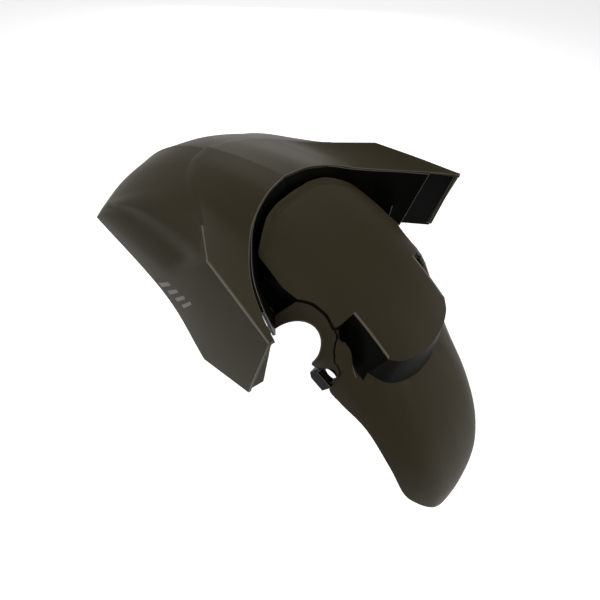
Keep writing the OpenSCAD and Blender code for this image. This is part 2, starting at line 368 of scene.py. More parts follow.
def open_shell(name: str, outer: Array, inner: Array, sizes: ForkSizes,
               outer_skins: Array | None = None, inner_skin: Skin = Skin.PAINTED,
               edge_skin: Skin = Skin.PAINTED) -> bpy.types.Object:
    """A wall between two open grids of points, closed along all four edges.

    Args:
        name: Name of the piece.
        outer: The outer grid, in millimetres round the wheel axis.
        inner: The inner grid, of the same shape.
        sizes: The shared sizes, which hold the origin.
        outer_skins: The slot of each outer cell, or None for the edges' one.
        inner_skin: The finish of the inner cells.
        edge_skin: The finish of the faces along the edges.

    Returns:
        The object, linked to the scene.
    """
    n, m = outer.shape[:2]
    cells = (n - 1) * (m - 1)
    index = np.arange(n * m).reshape(n, m)
    faces = shell_faces(index, index + n * m, False)
    skins = np.full(len(faces), edge_skin.value)
    if outer_skins is not None:
        skins[:cells] = outer_skins.ravel()
    skins[cells:2 * cells] = inner_skin.value
    points = np.concatenate([outer.reshape(-1, 3), inner.reshape(-1, 3)])
    return make_mesh(name, points, faces, skins, sizes)


def prism(name: str, ends: Array, sizes: ForkSizes) -> bpy.types.Object:
    """A closed solid between two outlines with the same number of points.

    Args:
        name: Name of the piece.
        ends: Both outlines, one after the other, in millimetres.
        sizes: The shared sizes, which hold the origin.

    Returns:
        The object, linked to the scene.
    """
    k = len(ends) // 2
    ring = np.arange(k)
    sides = np.stack([ring, np.roll(ring, -1), np.roll(ring, -1) + k, ring + k], 1)
    mesh = bpy.data.meshes.new(name)
    mesh.from_pydata(sizes.placed(ends).tolist(), [],
                     sides.tolist() + [ring[::-1].tolist(), (ring + k).tolist()])
    face_outward(mesh)
    return linked(mesh)


def cut(piece: bpy.types.Object, cutters: list[bpy.types.Object]) -> None:
    """Cuts closed meshes out of a piece.

    Args:
        piece: The object, whose mesh is replaced by the cut one.
        cutters: Closed objects, removed afterwards.
    """
    for tool in cutters:
        step = piece.modifiers.new("cut", "BOOLEAN")
        step.operation = "DIFFERENCE"
        step.solver = "EXACT"
        step.object = tool
    bpy.context.view_layer.update()
    shown = piece.evaluated_get(bpy.context.evaluated_depsgraph_get())
    mesh = bpy.data.meshes.new_from_object(shown)
    piece.modifiers.clear()
    old = piece.data
    piece.data = mesh
    mesh.name = piece.name
    bpy.data.meshes.remove(old)
    for tool in cutters:
        bpy.data.objects.remove(tool)


def soften(piece: bpy.types.Object, width: float, angle: float = 32.0,
           clamp: bool = False) -> None:
    """Smooth shading, with a small round on every edge sharper than the angle.

    The new faces of the rounds take the edge finish, a painted highlight, where the piece
    has it.

    Args:
        piece: The object.
        width: Width of the rounds in millimetres, or 0 for none.
        angle: The least angle between faces that counts as sharp, in degrees.
        clamp: True to stop rounds where they would meet.
    """
    mesh = piece.data
    mesh.polygons.foreach_set("use_smooth", np.ones(len(mesh.polygons), dtype=bool))
    mesh.set_sharp_from_angle(angle=np.radians(angle))
    if width > 0.0:
        round_off = piece.modifiers.new("round", "BEVEL")
        round_off.limit_method = "ANGLE"
        round_off.angle_limit = np.radians(angle)
        round_off.width = width / 1000.0
        round_off.segments = 2
        round_off.use_clamp_overlap = clamp
        round_off.harden_normals = False
        # The rounds get the painted highlight finish.
        if len(mesh.materials) > Skin.EDGE.value:
            round_off.material = Skin.EDGE.value


def mirrored(left: bpy.types.Object, width: float) -> bpy.types.Object:
    """A copy of a left piece on the other side of the middle plane.

    Args:
        left: The left piece, with left in its name.
        width: Width of the copy's rounds in millimetres, or 0 for none.

    Returns:
        The right piece, linked to the scene.
    """
    mesh = left.data.copy()
    mesh.name = left.name.replace("left", "right")
    mesh.transform(Matrix.Scale(-1.0, 4, (0.0, 1.0, 0.0)))
    mesh.flip_normals()
    right = linked(mesh)
    soften(right, width=width)
    return right


# Finishes


class Tree:
    """The nodes of a material or world, with short ways to add and link them."""

    def __init__(self, tree: bpy.types.NodeTree) -> None:
        """Takes the node tree of a material or a world."""
        self.nodes, self.links = tree.nodes, tree.links

    def fill(self, node: bpy.types.Node, inputs: dict[str | int, object]) -> None:
        """Fills a node's inputs.

        Args:
            node: The node.
            inputs: By name or number, a plain value or the output to link.
        """
        for key, value in inputs.items():
            if isinstance(value, bpy.types.NodeSocket):
                self.links.new(value, node.inputs[key])
            else:
                node.inputs[key].default_value = value

    def add(self, kind: str, inputs: dict[str | int, object]) -> bpy.types.Node:
        """Adds a node and fills its inputs.

        Args:
            kind: The node's type.
            inputs: By name or number, a plain value or the output to link.

        Returns:
            The node.
        """
        node = self.nodes.new(kind)
        self.fill(node, inputs)
        return node

    def ranged(self, source: bpy.types.NodeSocket,
               limits: tuple[float, ...]) -> bpy.types.NodeSocket:
        """A value moved from one range to another.

        Args:
            source: The output that gives the value.
            limits: Both ends of the range it has, then of the one it gets.

        Returns:
            The output with the moved value.
        """
        names = ("From Min", "From Max", "To Min", "To Max")
        level = self.add("ShaderNodeMapRange", {"Value": source, **dict(zip(names, limits))})
        return level.outputs["Result"]

    def seen_as(self, lit: bpy.types.NodeSocket,
                seen: bpy.types.NodeSocket) -> bpy.types.NodeSocket:
        """Swaps a shader for another one where camera, mirror or glass rays look.

        Args:
            lit: The shader that lights the part.
            seen: The shader that is seen behind it.

        Returns:
            The mixed shader's output.
        """
        path = self.add("ShaderNodeLightPath", {})
        looks = path.outputs["Is Camera Ray"]
        for ray in ("Is Glossy Ray", "Is Transmission Ray"):
            either = self.add("ShaderNodeMath", {0: looks, 1: path.outputs[ray]})
            either.operation = "MAXIMUM"
            looks = either.outputs[0]
        return self.add("ShaderNodeMixShader", {0: looks, 1: lit, 2: seen}).outputs[0]


class FinishNodes(Tree):
    """A new material with its shader, and short ways to vary the shader."""

    def __init__(self, name: str) -> None:
        """Makes the material, with noises placed by the piece's own coordinates.

        Args:
            name: The material's name.
        """
        self.material = bpy.data.materials.new(name)
        self.material.use_nodes = True
        super().__init__(self.material.node_tree)
        self.shader = self.nodes["Principled BSDF"]
        self.where = self.add("ShaderNodeTexCoord", {})

    def noise(self, scale: float, detail: float = 2.0) -> bpy.types.NodeSocket:
        """A soft noise on the piece's own coordinates.

        Args:
            scale: Waves per metre.
            detail: How many finer layers are added.

        Returns:
            The noise, from 0 to 1.
        """
        return self.add("ShaderNodeTexNoise", {
            "Scale": scale, "Detail": detail,
            "Vector": self.where.outputs["Object"]}).outputs["Fac"]

    def colour(self, source: bpy.types.NodeSocket, dark: Triple, light: Triple) -> None:
        """Lets the base colour drift with a noise.

        Args:
            source: The noise.
            dark: Colour where the noise is 0.
            light: Colour where the noise is 1.
        """
        mix = self.add("ShaderNodeMix", {})
        mix.data_type = "RGBA"
        self.fill(mix, {0: source, 6: (*dark, 1.0), 7: (*light, 1.0)})
        self.fill(self.shader, {"Base Color": mix.outputs[2]})

    def roughness(self, source: bpy.types.NodeSocket, low: float, high: float,
                  reach: tuple[float, float] = (0.0, 1.0)) -> None:
        """Lets the roughness follow a noise.

        Args:
            source: The noise.
            low: Roughness at the start of reach.
            high: Roughness at the end of reach.
            reach: The part of the noise's range that is used.
        """
        level = self.ranged(source, (*reach, low, high))
        self.fill(self.shader, {"Roughness": level})

    def peel(self, source: bpy.types.NodeSocket, strength: float, depth: float) -> None:
        """Gives the surface a fine bump.

        Args:
            source: The noise.
            strength: How much of the bump shows, from 0 to 1.
            depth: Height of the bump in metres.
        """
        bump = self.add("ShaderNodeBump", {
            "Strength": strength, "Distance": depth, "Height": source})
        self.fill(self.shader, {"Normal": bump.outputs["Normal"]})


@dataclass(frozen=True)
class MattePaint:
    """Matte dark warm grey paint, with a faint orange peel."""

    name: str = "painted"
    dark: Triple = (0.0520, 0.0425, 0.0245)
    light: Triple = (0.0630, 0.0520, 0.0305)
    rough_low: float = 0.42
    rough_high: float = 0.50
    ior: float = 1.13
    cloud_scale: float = 9.0
    cloud_detail: float = 3.0
    grain_scale: float = 650.0
    grain_reach: tuple[float, float] = (0.3, 0.7)
    peel_strength: float = 0.035
    peel_depth: float = 0.0004

    def build(self) -> bpy.types.Material:
        """Makes the material's nodes.

        Returns:
            A material whose colour drifts slowly over the panels, whose
            roughness varies in small clouds, and whose bump is a fine peel.
        """
        made = FinishNodes(self.name)
        made.fill(made.shader, {"IOR": self.ior})
        cloud = made.noise(self.cloud_scale, self.cloud_detail)
        made.colour(cloud, self.dark, self.light)
        grain = made.noise(self.grain_scale)
        made.roughness(grain, self.rough_low, self.rough_high, self.grain_reach)
        made.peel(grain, self.peel_strength, self.peel_depth)
        return made.material


@dataclass(frozen=True)
class BarePlastic:
    """Glossy black moulded plastic, as the mould leaves it."""

    name: str = "bare"
    dark: Triple = (0.0022, 0.0021, 0.0018)
    light: Triple = (0.0036, 0.0034, 0.0030)
    rough_low: float = 0.34
    rough_high: float = 0.48
    specular: float = 0.03
    flow_scale: float = 26.0
    flow_detail: float = 4.0

    def build(self) -> bpy.types.Material:
        """Makes the material's nodes.

        Returns:
            A near-black gloss with soft flow marks in its roughness.
        """
        made = FinishNodes(self.name)
        made.fill(made.shader, {"Specular IOR Level": self.specular})
        flow = made.noise(self.flow_scale, self.flow_detail)
        made.colour(flow, self.dark, self.light)
        made.roughness(flow, self.rough_low, self.rough_high)
        return made.material


@dataclass(frozen=True)
class PaintedHighlightEdge:
    """Painted highlight on rounded edges: a colour lighter than the paint, with more sheen,
    standing in for the light that the edges catch.
    """

    name: str = "edge"
    # Lighter than the paint: painted highlight.
    base: Triple = (0.150, 0.132, 0.098)
    rough_low: float = 0.30
    rough_high: float = 0.45
    specular: float = 0.3
    grain_scale: float = 300.0

    def build(self) -> bpy.types.Material:
        """Makes the material's nodes.

        Returns:
            A plain light colour, the painted highlight, with a fine noise in its roughness.
        """
        made = FinishNodes(self.name)
        made.fill(made.shader, {"Base Color": (*self.base, 1.0),
                                "Specular IOR Level": self.specular})
        made.roughness(made.noise(self.grain_scale), self.rough_low, self.rough_high)
        return made.material


@dataclass(frozen=True)
class PaleInk:
    """Pale print of the slanted bars on the side panels."""

    name: str = "bars"
    base: Triple = (0.17, 0.155, 0.125)
    worn: float = 0.75
    rough: float = 0.5
    wear_scale: float = 420.0

    def build(self) -> bpy.types.Material:
        """Makes the material's nodes.

        Returns:
            A pale print, worn a little unevenly by a fine noise.
        """
        made = FinishNodes(self.name)
        made.fill(made.shader, {"Roughness": self.rough})
        dull = tuple(self.worn * c for c in self.base)
        made.colour(made.noise(self.wear_scale), dull, self.base)
        return made.material


@dataclass
class Finishes:
    """The materials of the moulding, made once."""

    paint: bpy.types.Material
    bare: bpy.types.Material
    # The painted highlight finish of rounds and light lines.
    edge: bpy.types.Material
    ink: bpy.types.Material

    def dress(self, piece: bpy.types.Object, painted: bool = True) -> None:
        """Gives a piece all skins in the order of Skin, bare where not painted."""
        for skin in (self.paint if painted else self.bare, self.bare, self.edge):
            piece.data.materials.append(skin)


def both_sides(half: Array) -> Array:
    """Rows from the right end over the middle to the left end."""
    other = half[:0:-1] * np.array([1.0, -1.0, 1.0])
    return np.concatenate([other, half])


# Sub-assemblies


@dataclass
class Hood:
    """The broad front shell: collar, nose, scoops and side panels.

    Each control point is an angle round the wheel, a lift over the crown and
    a half width. Rows run from the middle of the hood to its rear tip.
    """

    sizes: ForkSizes
    collar_step: float = 2.4
    foot_gap: float = 7.0
    least_step: float = 0.12
    scoop_depth: float = 6.5
    scoop_top: Rows = ((2.2, 0.8), (2.65, 0.58), (2.95, 0.32), (3.33, 0.14), (3.62, 0.06))
    scoop_low: Rows = ((2.2, 1.0), (2.65, 0.97), (3.12, 0.9), (3.5, 0.8), (3.95, 0.6))
    scoop_ends: Rows = ((2.15, 0.75), (3.95, 0.2))
    scoop_way: Triple = (0.35, 1.4, 0.35)
    scoop_gain: float = 1.25
    scoop_rise: float = 0.5
    scoop_fall_from: float = 0.12
    # Share of the half width beyond which the crease has its lines of painted shade and
    # painted highlight.
    crease_shade_from: float = 0.66
    cells_per_row: tuple[int, ...] = (16, 16, 20, 34, 22, 22)
    collar_cells: int = 12
    nose_cells: int = 57
    edge_rows: Rows = (
        (93.6, 26.7, 0), (94.5, 25.4, 28.7), (96.4, 19.4, 56.6), (99.0, 15.8, 76),
        (103.1, 18.9, 98.7), (107.4, 29.1, 117), (111.8, 44, 132.6))
    crease_rows: Rows = (
        (74.6, 14.5, 0), (76.3, 13, 26), (80.6, 11, 51), (88.3, 11, 77.5),
        (97.5, 21.8, 115.3), (104.8, 30.4, 125.8), (111.7, 42.9, 136.3))
    side_rows: Rows = (
        (62, 9, 0), (62.6, 3, 42), (66, -7.5, 76), (70, -18.5, 99),
        (91.2, -32.4, 121.5), (104, -33.4, 135.5), (113.2, 1.2, 142.5))
    rim_rows: Rows = (
        (49.3, 5.2, 0), (49.6, -5.6, 50), (50.7, -18.5, 85), (48.3, -27.4, 100),
        (82.1, -83.2, 122.5), (102.8, -96.8, 141.3), (115.2, -40.5, 147.3))
    collar_bulge: tuple[float, ...] = (2.5, 2.5, 2, 0.5, -1, 0, 0)
    rounding: float = 0.7
    sharp_from: float = 60.0

    def control(self, rows: Rows) -> Array:
        """Control points of one family of curves."""
        table = np.array(rows)
        return polar(table[:, 0], self.sizes.crown_r + table[:, 1], table[:, 2])

    def edge_at(self, u: Array) -> Array:
        """The rear edge of the collar, a smooth curve."""
        return through(self.control(self.edge_rows), u)

    def crease_at(self, u: Array) -> Array:
        """The crease between collar and nose, with a corner at u = 4."""
        return cornered(self.control(self.crease_rows), u, (0, 4, 6))

    def rim_at(self, u: Array) -> Array:
        """The lower rim, with corners at the lip's end and the panel's foot."""
        return cornered(self.control(self.rim_rows), u, (0, 3, 5, 6))

    def collar(self, u: Array, w: Array) -> Array:
        """The collar, from its rear edge at w = 0 to the crease at w = 1.

        Formula: straight from edge to crease, raised by the bulge times
        four times w(1 - w).

        Args:
            u: Places along the hood, from the middle to the rear tip.
            w: Places across the collar.

        Returns:
            A grid of points, u by w.
        """
        a, b = self.edge_at(u)[:, None], self.crease_at(u)[:, None]
        w = w[None, :, None]
        p = a + (b - a) * w
        lift = np.interp(u, np.arange(7.0), self.collar_bulge)[:, None, None]
        return p + radial(p) * lift * 4.0 * w * (1.0 - w)

    def nose(self, u: Array, v: Array) -> Array:
        """The nose and side panel, from the crease at v = 0 to the rim at v = 1.

        Formula: the parabola in v that passes through the foot of the
        collar's step, the side curve and the rim, less the scoop's depth.

        Args:
            u: Places along the hood, from the middle to the rear tip.
            v: Places down the hood.

        Returns:
            A grid of points, u by v.
        """
        crease, rim = self.crease_at(u), self.rim_at(u)
        side = through(self.control(self.side_rows), u)
        amount = np.clip(4.0 - u, self.least_step, 1.0)[:, None]
        foot = (crease + unit(side - crease) * self.foot_gap * amount
                - radial(crease) * self.collar_step * (amount - self.least_step))
        middle = 2.0 * side - (foot + rim) / 2.0
        t = v[None, :, None]
        p = (foot[:, None] * (1 - t) ** 2 + middle[:, None] * 2 * t * (1 - t)
             + rim[:, None] * t ** 2)
        out = unit(p * np.array(self.scoop_way))
        return p - out * (self.scoop_depth * self.scoop(u, v))[..., None]

    def scoop(self, u: Array, v: Array) -> Array:
        """Depth of the scoop, from 0 to 1.

        Formula: between an upper line and a lower line in v, the depth rises
        fast from the upper one and falls off slowly to the lower one. Both
        ends in u fade out.

        Args:
            u: Places along the hood.
            v: Places down the hood.

        Returns:
            The depth on a grid, u by v.
        """
        top = between_rows(self.scoop_top, u)[:, None]
        low = between_rows(self.scoop_low, u)[:, None]
        w = (v[None] - top) / (low - top)
        (first, fade_in), (last, fade_out) = self.scoop_ends
        ends = smooth((u - first) / fade_in) * smooth((last - u) / fade_out)
        fall = smooth((w - self.scoop_fall_from) / (1.0 - self.scoop_fall_from))
        return (self.scoop_gain * smooth(w / self.scoop_rise) * (1.0 - fall)
                * ends[:, None])

    def outer(self) -> Array:
        """The whole outside of the hood.

        Returns:
            A grid of points, from the right tip to the left one and from the
            collar's edge to the rim.
        """
        u = places(self.cells_per_row)
        w = np.linspace(0.0, 1.0, self.collar_cells + 1)
        v = np.linspace(0.0, 1.0, self.nose_cells + 1)
        return both_sides(np.concatenate([self.collar(u, w), self.nose(u, v)], axis=1))

    def build(self, finishes: Finishes) -> bpy.types.Object:
        """Makes the hood's shell, painted outside and bare inside.

        Towards both ends a line of painted shade, in the bare finish, runs
        under the collar's crease, with a line of painted highlight on its lower side.

        Args:
            finishes: The materials.

        Returns:
            The hood.
        """
        top = self.outer()
        low = top + self.sizes.wall * inward(top)
        rows, columns = top.shape[0] - 1, top.shape[1] - 1
        out_from_middle = np.abs(np.arange(rows) + 0.5 - rows / 2) / (rows / 2)
        far = out_from_middle > self.crease_shade_from
        skins = np.full((rows, columns), Skin.PAINTED.value)
        # Painted shade under the crease, and a painted highlight just below it.
        skins[far, self.collar_cells] = Skin.BARE.value
        skins[far, self.collar_cells + 1] = Skin.EDGE.value
        piece = open_shell("hood", top, low, self.sizes, skins, Skin.BARE)
        finishes.dress(piece)
        soften(piece, self.rounding, self.sharp_from)
        return piece


@dataclass
class SlantedBars:
    """Plain slanted bars printed low on each side panel."""

    hood: Hood
    count: int = 4
    first_u: float = 3.90
    pitch_u: float = 0.12
    width_u: float = 0.05
    lean_u: float = 0.05
    low_v: float = 0.93
    pitch_v: float = 0.05
    tall_v: float = 0.2
    lift: float = 0.12
    sunk: float = 0.3
    steps: int = 9

    def build(self, finishes: Finishes, side: Side) -> bpy.types.Object:
        """Makes the bars as thin films on the panel.

        Formula: bar k is the panel's own surface between two slanted lines
        in u and v, lifted a little outward.

        Args:
            finishes: The materials.
            side: The side panel that the bars are on.

        Returns:
            The object of all bars on one side.
        """
        blocks, faces = [], []
        n = self.steps
        across = np.linspace(0, 1, n)
        pick = np.arange(n)
        for k in range(self.count):
            a, b = np.meshgrid(across, across, indexing="ij")
            u = self.first_u + self.pitch_u * k + self.width_u * a + self.lean_u * b
            v = self.low_v - self.pitch_v * k - self.tall_v * b
            p = np.stack([self.hood.nose(u[:, j], v[:, j])[pick, pick]
                          for j in range(n)], axis=1)
            step = inward(p)
            outward = -step if step[n // 2, n // 2, 1] < 0 else step
            blocks += [(p + outward * self.lift).reshape(-1, 3),
                       (p - outward * self.sunk).reshape(-1, 3)]
            index = np.arange(n * n).reshape(n, n) + 2 * n * n * k
            faces.append(shell_faces(index, index + n * n, False))
        points = np.concatenate(blocks) * np.array([1.0, side.value, 1.0])
        quads = np.concatenate(faces)
        piece = make_mesh(f"bars_{side.name.lower()}", points, quads,
                          np.zeros(len(quads), int), self.hood.sizes)
        piece.data.materials.append(finishes.ink)
        soften(piece, width=0.0)
        return piece


@dataclass
class StepWall:
    """The wall from the hood's edge down to the blade, and its webs."""

    hood: Hood
    ends_at: float = 5.2
    inside_edge: float = 0.03
    below_edge: float = 1.2
    steps: int = 105
    rows_down: int = 9
    rounding: float = 0.5
    foot_rows: Rows = (
        (0, 94.2, 6.4, 0), (1, 94.9, 5.8, 28.7), (1.5, 95.8, 2.4, 43),
        (2, 96.9, -2.1, 56.6), (2.5, 98.4, -10, 67.5), (3, 101.6, -22, 74.5),
        (3.55, 104.4, -20, 90), (4.4, 108, -21, 90.5), (5.2, 110.6, -30, 100))

    def foot_at(self, u: Array) -> Array:
        """The foot of the wall, straight between its rows.

        Args:
            u: Places along the hood, from the middle to the rear tip.

        Returns:
            One point for each u.
        """
        table = np.array(self.foot_rows)
        part = [np.interp(u, table[:, 0], table[:, k]) for k in (1, 2, 3)]
        return polar(part[0], self.hood.sizes.crown_r + part[1], part[2])

    def build(self, finishes: Finishes) -> bpy.types.Object:
        """Makes the wall as a bare shell.

        Formula: straight lines from just inside the hood's edge to the foot.

        Args:
            finishes: The materials.

        Returns:
            The wall, with both webs.
        """
        u = np.linspace(0.0, self.ends_at, self.steps)
        edge, crease = self.hood.edge_at(u), self.hood.crease_at(u)
        top = edge + (crease - edge) * self.inside_edge - unit(edge) * self.below_edge
        foot = self.foot_at(u)
        f = np.linspace(0.0, 1.0, self.rows_down)[None, :, None]
        grid = both_sides(blend(top[:, None], foot[:, None], f))
        sizes = self.hood.sizes
        piece = open_shell("step", grid, grid + sizes.wall * inward(grid), sizes,
                           None, Skin.BARE, Skin.BARE)
        finishes.dress(piece)
        soften(piece, self.rounding)
        return piece


@dataclass
class EndReturn:
    """The narrow return face at the rear end of each side."""

    hood: Hood
    width: float = 17.0
    run: Triple = (-8.1, -12.3, 11.4)
    under_tip: Triple = (1.2, -1.4, -1.6)
    over_foot: Triple = (1.2, -1.4, 1.2)
    under_edge: Triple = (2.0, 0.3, -2.0)
    steps_down: int = 25
    steps_in: int = 7
    rounding: float = 0.5

    def build(self, finishes: Finishes) -> bpy.types.Object:
        """Makes the left return face.

        Formula: straight lines between the panel's rear edge, from tip to
        foot, and a second line further in that starts under the collar.

        Args:
            finishes: The materials.

        Returns:
            The left return.
        """
        last = np.array([6.0])
        tip, low = self.hood.crease_at(last)[0], self.hood.rim_at(last)[0]
        a = tip + np.array(self.under_tip)
        b = low + np.array(self.over_foot)
        in_a = self.hood.edge_at(last)[0] + np.array(self.under_edge)
        in_b = b + unit(np.array(self.run)) * self.width
        f = np.linspace(0.0, 1.0, self.steps_down)[:, None, None]
        g = np.linspace(0.0, 1.0, self.steps_in)[None, :, None]
        grid = blend(blend(in_a, in_b, f), blend(a, b, f), g)
        sizes = self.hood.sizes
        piece = open_shell("return_left", grid, grid + sizes.wall * inward(grid), sizes)
        finishes.dress(piece)
        soften(piece, self.rounding)
        return piece


@dataclass
class Blade:
    """The blade round the wheel: platform, groove, ledges, recesses and tail.

    Each ring row is the platform's outline (angle and half width), the draft
    of its wall, its height, and the blade's outer edge (angle, half width,
    and lift over the crown, or 0 to follow the blade's own arc).
    """

    sizes: ForkSizes
    lift: float = 16.0
    fall: float = 18.0
    groove: float = 8.0
    recess: float = 26.0
    ledge: float = 2.9
    edge_roll: float = 12.0
    tail_end: float = 173.0
    tail_half_w: float = 76.0
    channel: float = 1.8
    channel_at: float = 7.0
    channel_width: float = 3.0
    channel_rows: Rows = ((11, 1), (14, 0))
    ridge_rows: Rows = ((17, 0.3), (18, 0.45), (20, 0.45), (22, 0.3))
    roll_from: float = 0.7
    roll_rows: Rows = ((16, 0), (17, 1.2), (18, 0.7), (19, 0.7), (20, 1), (23, 0.3))
    crown_rows: Rows = (
        (90, 7.5), (116, 7.5), (121, 2), (127, -8), (134, -11), (142, -9.5),
        (156, -5), (166, -1.5), (176, 0), (190, 0))
    bend_from: float = 120.0
    bend_over: float = 14.0
    bend_slope: tuple[float, float] = (0.9, 0.1)
    bend_start: tuple[float, float] = (60.0, -8.0)
    bend_soft: tuple[float, float] = (10.0, 6.0)
    fall_half_w: float = 72.0
    fall_power: float = 3.3
    spine_from: float = 98.0
    spine_length: float = 28.5
    spine_cells: int = 21
    fan_cells: int = 30
    clear_reach: tuple[float, float] = (-110.0, 10.0)
    clear_steps: int = 96
    rounding: float = 0.9
    least_mitre: float = 0.6
    cells_per_ring: tuple[int, ...] = (
        (5,) * 8 + (6,) * 3 + (4,) + (6,) * 9 + (8,) * 2 + (7,) * 6)
    groove_to: float = 11.98
    recess_reach: tuple[float, float] = (17.2, 21.0)
    recess_rows: Rows = ((17, 0.27), (18, 0.42), (20, 0.42), (21, 0.2))
    # Rings of the painted highlights on the platform's edge and on the ridge's crest.
    rim_highlight_reach: tuple[float, float] = (17.8, 21.0)
    crest_highlight_reach: tuple[float, float] = (18.0, 20.4)
    crest_highlight_cell: int = 13
    corners: tuple[int, ...] = (0, 8, 11, 12, 17, 18, 21, 29)

    def rings(self) -> Array:
        """The table of rings, from the front of the platform to its rear.

        Returns:
            One row of seven values for each ring, as the class says.
        """
        gd, rec, led = self.groove, self.recess, self.ledge
        fy, tw, te = self.sizes.fork_y, self.tail_half_w, self.tail_end
        inn, out = self.sizes.box_y
        return np.array([
            (95.6, 0, 2.5, gd, 92.4, 0, 8),
            (95.7, 12, 2.5, gd, 92.5, 13, 8),
            (95.8, 23, 2.5, gd, 92.7, 25, 7.5),
            (96.4, 38, 2.5, gd, 93.4, 41, 5),
            (97.1, 46, 2.5, gd, 94.2, 50, 2),
            (97.8, 52.6, 2.5, gd, 95, 57, -1),
            (99, 63, 2.5, gd + 1, 96.6, 67, -8),
            (99.9, 68.6, 2, gd + 2, 98.4, 72, -20),
            (101, 69.8, 1.5, gd + 4, 100.5, 76, -32),
            (103.6, 71.6, 1.5, gd + 4, 103.4, 83, -36),
            (106.1, 73.2, 1.5, gd + 4, 105.7, 88, -37),
            (108.6, 72.2, 1.5, gd + 4, 107.9, 91, -37),
            (109.2, 71.6, 1.5, led, 108.2, 95.5, 0),
            (110.3, fy - 28.9, 1.5, led, 110.1, 102.5, 0),
            (111.7, fy - 31.9, 1.5, led, 112.2, fy, 0),
            (114.2, fy - 33.4, 1.5, led, 115, fy - 4, 0),
            (116.2, fy - 31.4, 1.5, led, 117.8, fy - 4, 0),
            (116.5, 60, 3, rec * 0.35, 120.3, out + 0.5, 0),
            (116.5, 47.4, 6, rec, 122.2, inn + 4.5, 0),
            (119.5, 47.4, 6, rec, 123.8, inn + 4.5, 0),
            (122.5, 47.5, 7, rec, 125.7, out - 1, 0),
            (125.3, 47.5, 11, rec - 2, 130, tw + 6, 0),
            (126.6, 40, 18, rec - 1, 138, tw, 0),
            (127.3, 33, 22, rec, 149, tw - 1, 0),
            (127.8, 26, 24, rec, 158, tw - 4, 0),
            (128.1, 20, 26, rec + 1, te - 10, tw - 14, 0),
            (128.3, 14, 27, rec + 1, te - 6, tw - 28, 0),
            (128.4, 9, 28, rec + 1, te - 3, tw - 43, 0),
            (128.5, 4.5, 28, rec + 1, te - 0.8, tw - 59, 0),
            (128.5, 0, 28, rec + 1, te, 0, 0)])

    def crown(self, t: Array) -> Array:
        """Radius of the blade's middle line at an angle, straight between rows."""
        return self.sizes.crown_r + between_rows(self.crown_rows, t)

    def blade_r(self, t: Array, y: Array) -> Array:
        """Radius of the blade at an angle and a half width.

        Formula: the crown's radius less a soft bend that starts at a half
        width and goes on at a slope. Both, and how soft it is, go from a
        front value by a change along the blade.

        Args:
            t: Angle round the wheel, in degrees.
            y: Half width.

        Returns:
            The radius from the wheel axis.
        """
        k, a = np.clip((t - self.bend_from) / self.bend_over, 0, 1), np.abs(y)
        slope, start, soft = (front + change * k for front, change in
                              (self.bend_slope, self.bend_start, self.bend_soft))
        fall = 0.5 * slope * (a - start + np.hypot(a - start, soft)
                              - (np.hypot(start, soft) - start))
        return self.crown(t) - fall

    def platform_r(self, y: Array) -> Array:
        """Radius of the platform: its lift, less a fall that grows near the rim."""
        return (self.sizes.crown_r + self.lift
                - self.fall * (np.abs(y) / self.fall_half_w) ** self.fall_power)

    def feet(self, ring: Array) -> Array:
        """Foot of the platform's wall in angle and half width.

        Formula: the outline in millimetres along the arc, moved outward by
        the draft along the mean of the two sides' normals at each row.

        Args:
            ring: The table of rings.

        Returns:
            An angle and a half width for each ring.
        """
        mm = self.sizes.crown_r * np.pi / 180
        plan = ring[:, :2] * np.array([mm, 1.0])
        ends = np.concatenate([plan[1:2] * [1, -1], plan, plan[-2:-1] * [1, -1]])
        side = unit(np.diff(ends, axis=0))
        normal = np.stack([-side[:, 1], side[:, 0]], axis=1)
        mean = unit(normal[:-1] + normal[1:])
        fit = np.maximum(self.least_mitre, np.sum(mean * normal[1:], axis=1))
        moved = plan + mean * (ring[:, 2] / fit)[:, None]
        out = np.stack([moved[:, 0] / mm, np.maximum(moved[:, 1], 0)], axis=1)
        out[[0, -1], 1] = 0.0
        return out

    def half(self, spine: Array, fan: Array) -> Array:
        """The left half as a grid, one row for each ring.

        Formula: the platform's top runs from the middle line to its outline
        at spine, less a shallow channel whose depth is a bell curve of the
        distance inside the outline. The fan runs from the wall's foot to the
        outer edge, and rises to a ridge over the first part where the blade's
        arc is higher.

        Args:
            spine: Places from the middle line to the platform's outline.
            fan: Places from the wall's foot to the outer edge.

        Returns:
            A grid of points, with spine and fan one after the other.
        """
        ring, foot = self.rings(), self.feet(self.rings())
        rows = np.arange(len(ring))
        start = self.spine_from + self.spine_length * rows / rows[-1]
        t = blend(start[:, None], ring[:, :1], spine)
        y = ring[:, 1:2] * spine
        mm = self.sizes.crown_r * np.pi / 180
        inside = np.hypot((t - ring[:, :1]) * mm, y - ring[:, 1:2])
        dip = (np.exp(-((inside - self.channel_at) / self.channel_width) ** 2)
               * between_rows(self.channel_rows, rows)[:, None])
        top = polar(t, self.platform_r(y) - self.channel * dip, y)
        ft, fy = foot[:, :1], foot[:, 1:]
        t = ft + (ring[:, 4:5] - ft) * fan
        y = fy + (ring[:, 5:6] - fy) * fan
        low = self.platform_r(np.minimum(foot[:, 1], ring[:, 1]))[:, None] - ring[:, 3:4]
        fixed = low + (self.sizes.crown_r + ring[:, 6:7] - low) * fan
        roll = between_rows(self.roll_rows, rows)
        ridge = between_rows(self.ridge_rows, rows)
        rolled = np.maximum(0, (fan - self.roll_from) / (1 - self.roll_from)) ** 2
        arc = (self.blade_r(t, y) - (self.blade_r(ft, fy) - low)
               * np.maximum(0, 1 - fan / ridge[:, None])
               - self.edge_roll * roll[:, None] * rolled)
        r = np.where(ring[:, 6:7] != 0, fixed, arc)
        return np.concatenate([top, polar(t, r, y)], axis=1)

